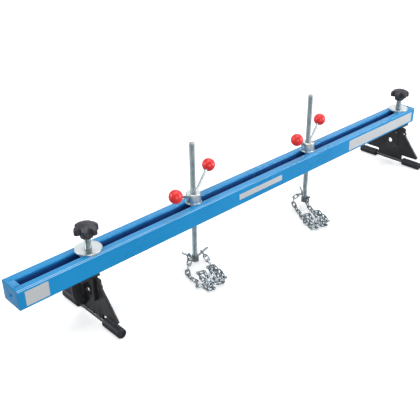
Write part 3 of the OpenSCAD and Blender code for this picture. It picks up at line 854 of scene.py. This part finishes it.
# Ball handles: each arm leaves its nut on a slope and ends in a ball with a collar and a parting line
# Reach is the ball's distance from the rod's axis, height is over the beam, in millimetres
handles = {
    "left": dict(turn=22.8, reach=97.0, height=62.0),
    "right": dict(turn=17.6, reach=88.0, height=66.0),
}
arm = dict(seatRadius=17.0, seatHeight=22.0, radius=3.5, tip=0.6, inNut=5.0, shortBy=14.0)
ball = dict(radius=17.5, collar=5.2, collarRise=0.7, flat=1.2, line=0.06, lineHalf=2.0, steps=40)


def ballProfile():
    low = ball["flat"] - ball["radius"]
    corners = [(0, low, 0), (ball["collar"], low, 0), (ball["collar"], low + ball["collarRise"], 0)]
    start = math.degrees(math.acos((ball["collar"] + ball["collarRise"]) / ball["radius"]))
    skin = ball["radius"] - ball["line"] - 0.01
    for k in range(ball["steps"]):
        tilt = -start + (start + 90) * k / ball["steps"]
        radius = skin + (ball["line"] if abs(tilt) < ball["lineHalf"] else 0.0)
        corners.append((radius * math.cos(math.radians(tilt)), radius * math.sin(math.radians(tilt)), 0))
    corners.append((0, skin, 0))
    return corners


for side, facts in handles.items():
    across = facts["reach"] - arm["seatRadius"]
    up = facts["height"] - arm["seatHeight"]
    length = math.hypot(across, up)
    last, radius = length - arm["shortBy"], arm["radius"]
    rod = [(0, -arm["inNut"], 0), (radius - arm["tip"], -arm["inNut"], 0),
           (radius, arm["tip"] - arm["inNut"], 0), (radius, last, 0), (0, last, 0)]
    rods, balls = [], []
    for half in (0, 180):
        seat = Matrix.Translation((arm["seatRadius"] * mm, 0, beam["top"] + arm["seatHeight"] * mm))
        spot = (Matrix.Translation((places[side]["lift"], 0, 0))
                @ Matrix.Rotation(math.radians(facts["turn"] + half), 4, "Z") @ seat
                @ Matrix.Rotation(math.radians(90) - math.atan2(up, across), 4, "Y"))
        rods.append(moved(lathe(rod, 48, loop=False), spot))
        balls.append(moved(lathe(ballProfile(), loop=False), spot @ Matrix.Translation((0, 0, length * mm))))
    addPiece(side + "HandleRods", joined(rods), side + "_nut", "zinc_plate", [side + "_nut_handles"])
    addPiece(side + "Balls", joined(balls), side + "_nut", "red_plastic", [side + "_handle_balls"])
print("scene: handles ready")


# Painted plate and guide blocks with eased edges. The saddle drops a hair, clear of the rails' undersides
eased = {
    "end_plate": dict(body="beam", slot="blue_paint", width=0.8),
    "saddle": dict(body="foot", slot="black_paint", width=0.7, drop=0.05),
    "support_plate": dict(body="foot", slot="black_paint", width=0.5),
    "gusset": dict(body="foot", slot="black_paint", width=0.5),
    "guide_block": dict(body="foot", slot="zinc_plate", width=0.6),
}
for side in places:
    for part, facts in eased.items():
        body = "beam" if facts["body"] == "beam" else side + "_foot"
        name = side + "_" + part
        title = side + "".join(word.title() for word in part.split("_"))
        mesh = moved(easedCopy(name, facts["width"]), Matrix.Translation((0, 0, -facts.get("drop", 0) * mm)))
        addPiece(title, mesh, body, facts["slot"], [name], smooth=30)


# Ribs that stand in the slits of the support plates and show dark through them
rib = dict(y=-0.028, half=0.0026, low=0.065, high=0.1268, ease=0.0006,
           span={"left": (-0.5705, -0.5576), "right": (0.6836, 0.6965)})


def ribOutline(inset, x):
    y, half, high = rib["y"], rib["half"] - inset, rib["high"] - inset
    points = [Vector((x, y - half, high)), Vector((x, y + half, high))]
    for k in range(13):
        angle = math.radians(-15 * k)
        points.append(Vector((x, y + half * math.cos(angle), rib["low"] + half * math.sin(angle))))
    return points


def ribMesh(first, last):
    ease, part = rib["ease"], rib["ease"] * 0.3
    mesh = skinMesh([
        ribOutline(ease, first), ribOutline(part, first + part), ribOutline(0.0, first + ease),
        ribOutline(0.0, last - ease), ribOutline(part, last - part), ribOutline(ease, last)])
    outward(mesh, close=True)
    return mesh


for side, span in rib["span"].items():
    addPiece(side + "SlitRib", ribMesh(*span), side + "_foot", "black_paint", smooth=30)


# Weld beads on the outer face of each support plate: two along the gusset, four under the saddle
weld = dict(face={"left": -0.5632, "right": 0.6892},
            upright=dict(radius=0.0018, length=0.066, z=0.089, ys=(0.0273, 0.0327)),
            level=dict(radius=0.0019, z=0.1268,
                       lengths={-0.038: 0.016, -0.008: 0.024, 0.014: 0.018, 0.041: 0.012}))


def weldRuns(x):
    upright, flat = weld["upright"], weld["level"]
    runs = [dict(Middle=(x, y, upright["z"]), Length=upright["length"], Radius=upright["radius"])
            for y in upright["ys"]]
    for y, length in flat["lengths"].items():
        runs.append(dict(Middle=(x, y, flat["z"]), Length=length, Radius=flat["radius"],
                         Turn=(math.radians(90), 0.0, 0.0)))
    return runs


for side, x in weld["face"].items():
    beads = [bakeTree(beadTree, {**run, "Seed": 3.0 + index, "Material": looks["black_paint"]})
             for index, run in enumerate(weldRuns(x))]
    addPiece(side + "BracketWelds", joined(beads), side + "_foot", "black_paint", smooth=60)
print("scene: plates and welds ready")


# Bare silver labels on the front rail: first and last X, low and high Z
labels = {
    "nearLabel": (-0.7345, -0.6780, 0.1395, 0.1755),
    "middleLabel": (-0.0980, 0.0720, 0.1500, 0.1660),
    "farLabel": (0.3850, 0.7340, 0.1400, 0.1722),
}
plate = dict(corner=0.0015, thick=0.00022, sunk=0.0001)


# A label with a fine pressed line just inside its edge
def labelMesh(x0, x1, z0, z1):
    corner = plate["corner"]

    def outline(inset, y):
        points = []
        for cx, cz, first in ((x1, z1, 0), (x0, z1, 90), (x0, z0, 180), (x1, z0, 270)):
            dx, dz = (-1 if cx == x1 else 1), (-1 if cz == z1 else 1)
            for k in range(7):
                angle = math.radians(first + 15 * k)
                points.append(Vector((cx + dx * (corner + inset) + corner * math.cos(angle), y,
                                      cz + dz * (corner + inset) + corner * math.sin(angle))))
        return points

    back = plate["sunk"] - beam["outer"]
    groove = -beam["outer"] - plate["thick"] * 0.6
    face = -beam["outer"] - plate["thick"]
    # Inset from the edge and height, from the back over the rim and across the pressed line
    steps = ((0.0, back), (0.0, groove), (0.0001, face), (0.0009, face), (0.0010, groove),
             (0.0012, groove), (0.0013, face))
    mesh = skinMesh([outline(inset, y) for inset, y in steps])
    outward(mesh, close=True)
    return mesh


for name, span in labels.items():
    addPiece(name, labelMesh(*span), "beam", "zinc_plate", material=labelFinish, smooth=30)
print("scene: labels ready")


# Camera of the photograph
view = dict(eye=(-1.2278, -1.1257, 0.9913), yaw=0.75221, pitch=0.50606, roll=-0.01605, lens=57.56,
            sensor=36.0, farthest=100.0)


def makeCamera():
    yaw, pitch, roll = view["yaw"], view["pitch"], view["roll"]
    forward = Vector((math.sin(yaw) * math.cos(pitch), math.cos(yaw) * math.cos(pitch), -math.sin(pitch)))
    level = Vector((math.cos(yaw), -math.sin(yaw), 0.0))
    upright = level.cross(forward)
    right = level * math.cos(roll) + upright * math.sin(roll)
    above = upright * math.cos(roll) - level * math.sin(roll)
    lens = bpy.data.cameras.new("camera")
    lens.lens = view["lens"]
    lens.sensor_width = view["sensor"]
    lens.clip_end = view["farthest"]
    camera = bpy.data.objects.new("camera", lens)
    turn = Matrix((right, above, -forward)).transposed()
    camera.matrix_world = Matrix.Translation(view["eye"]) @ turn.to_4x4()
    bpy.context.scene.collection.objects.link(camera)
    bpy.context.scene.camera = camera


# White floor, a plain pale world and soft boxes. Metal reflects a dimmer background than the camera sees
backdrop = dict(glossShare=0.22, edge=14.0, white=1.05, near=1.0, nearGlow=0.38, far=3.0,
                skyColour=(0.93, 0.97, 1.0, 1.0), skyStrength=0.24)


def backgroundShare(tree, path):
    gloss = mathNode(tree, "MULTIPLY", path.outputs["Is Glossy Ray"], backdrop["glossShare"])
    return mathNode(tree, "MAXIMUM", path.outputs["Is Camera Ray"], gloss)


def makeFloor():
    material, tree, shader = startMaterial("floorWhite")
    tone = groupNode(tree, clouds, Scale=2.0, Spread=0.4)
    path = addNode(tree, "ShaderNodeLightPath")
    seen = mixColours(tree, tone, (0.90, 0.90, 0.90), (0.93, 0.93, 0.93))
    colour = mixColours(tree, path.outputs["Is Camera Ray"], (0.34, 0.35, 0.36), seen)
    wire(tree, colour, shader.inputs["Base Color"])
    reach = addNode(tree, "ShaderNodeVectorMath", operation="LENGTH")
    wire(tree, objectPoint(tree), reach.inputs[0])
    glow = ramp(tree, reach.outputs["Value"], backdrop["near"], backdrop["far"],
                backdrop["nearGlow"], backdrop["white"])
    strength = mathNode(tree, "MULTIPLY", backgroundShare(tree, path), glow)
    wire(tree, strength, shader.inputs["Emission Strength"])
    setSockets(shader, {"Emission Color": (1.0, 1.0, 1.0, 1.0), "Roughness": 0.9, "Specular IOR Level": 0.1})
    mesh = bpy.data.meshes.new("floor")
    edge = backdrop["edge"]
    corners = [(-edge, -edge, 0), (edge, -edge, 0), (edge, edge, 0), (-edge, edge, 0)]
    mesh.from_pydata(corners, [], [(0, 1, 2, 3)])
    mesh.materials.append(material)
    floor = bpy.data.objects.new("floor", mesh)
    bpy.context.scene.collection.objects.link(floor)
    floor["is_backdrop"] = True


def makeWorld():
    world = bpy.data.worlds.new("world")
    world.use_nodes = True
    tree = world.node_tree
    tree.nodes.clear()
    path = addNode(tree, "ShaderNodeLightPath")
    seen = addNode(tree, "ShaderNodeBackground")
    setSockets(seen, {"Color": (1.0, 1.0, 1.0, 1.0), "Strength": backdrop["white"]})
    lit = addNode(tree, "ShaderNodeBackground")
    setSockets(lit, {"Color": backdrop["skyColour"], "Strength": backdrop["skyStrength"]})
    mix = addNode(tree, "ShaderNodeMixShader")
    end = addNode(tree, "ShaderNodeOutputWorld")
    wire(tree, backgroundShare(tree, path), mix.inputs[0])
    wire(tree, lit.outputs[0], mix.inputs[1])
    wire(tree, seen.outputs[0], mix.inputs[2])
    wire(tree, mix.outputs[0], end.inputs[0])
    bpy.context.scene.world = world


boxes = {
    "overhead": dict(at=(0.0, 0.1, 2.6), target=(0.0, 0.0, 0.1), size=(3.4, 1.0), power=46.0),
    "edgeStrip": dict(at=(2.0, -1.5, 2.0), target=(0.0, 0.0, 0.15), size=(3.4, 0.14), power=16.0),
    "frontRight": dict(at=(2.1, -2.2, 0.75), target=(0.0, 0.0, 0.15), size=(1.8, 1.1), power=58.0),
    "frontLeft": dict(at=(-1.5, -3.0, 0.75), target=(0.0, 0.0, 0.15), size=(1.6, 1.0), power=42.0),
    "rearLeft": dict(at=(-2.4, 1.9, 1.3), target=(0.0, 0.0, 0.1), size=(1.8, 1.3), power=48.0),
    "rear": dict(at=(2.6, 2.8, 2.2), target=(0.0, 0.0, 0.1), size=(4.4, 2.4), power=34.0),
}


def makeLights():
    for name, box in boxes.items():
        lamp = bpy.data.lights.new(name, "AREA")
        lamp.shape = "RECTANGLE"
        lamp.size, lamp.size_y = box["size"]
        lamp.energy = box["power"]
        holder = bpy.data.objects.new(name, lamp)
        aim = (Vector(box["target"]) - Vector(box["at"])).to_track_quat("-Z", "Y")
        holder.matrix_world = Matrix.Translation(box["at"]) @ aim.to_matrix().to_4x4()
        bpy.context.scene.collection.objects.link(holder)


makeCamera()
makeFloor()
makeWorld()
makeLights()
bpy.context.scene.view_settings.view_transform = "Standard"
print("scene: stage ready")

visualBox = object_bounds()
{"cad": plain(cadBox), "visual": plain(visualBox)}
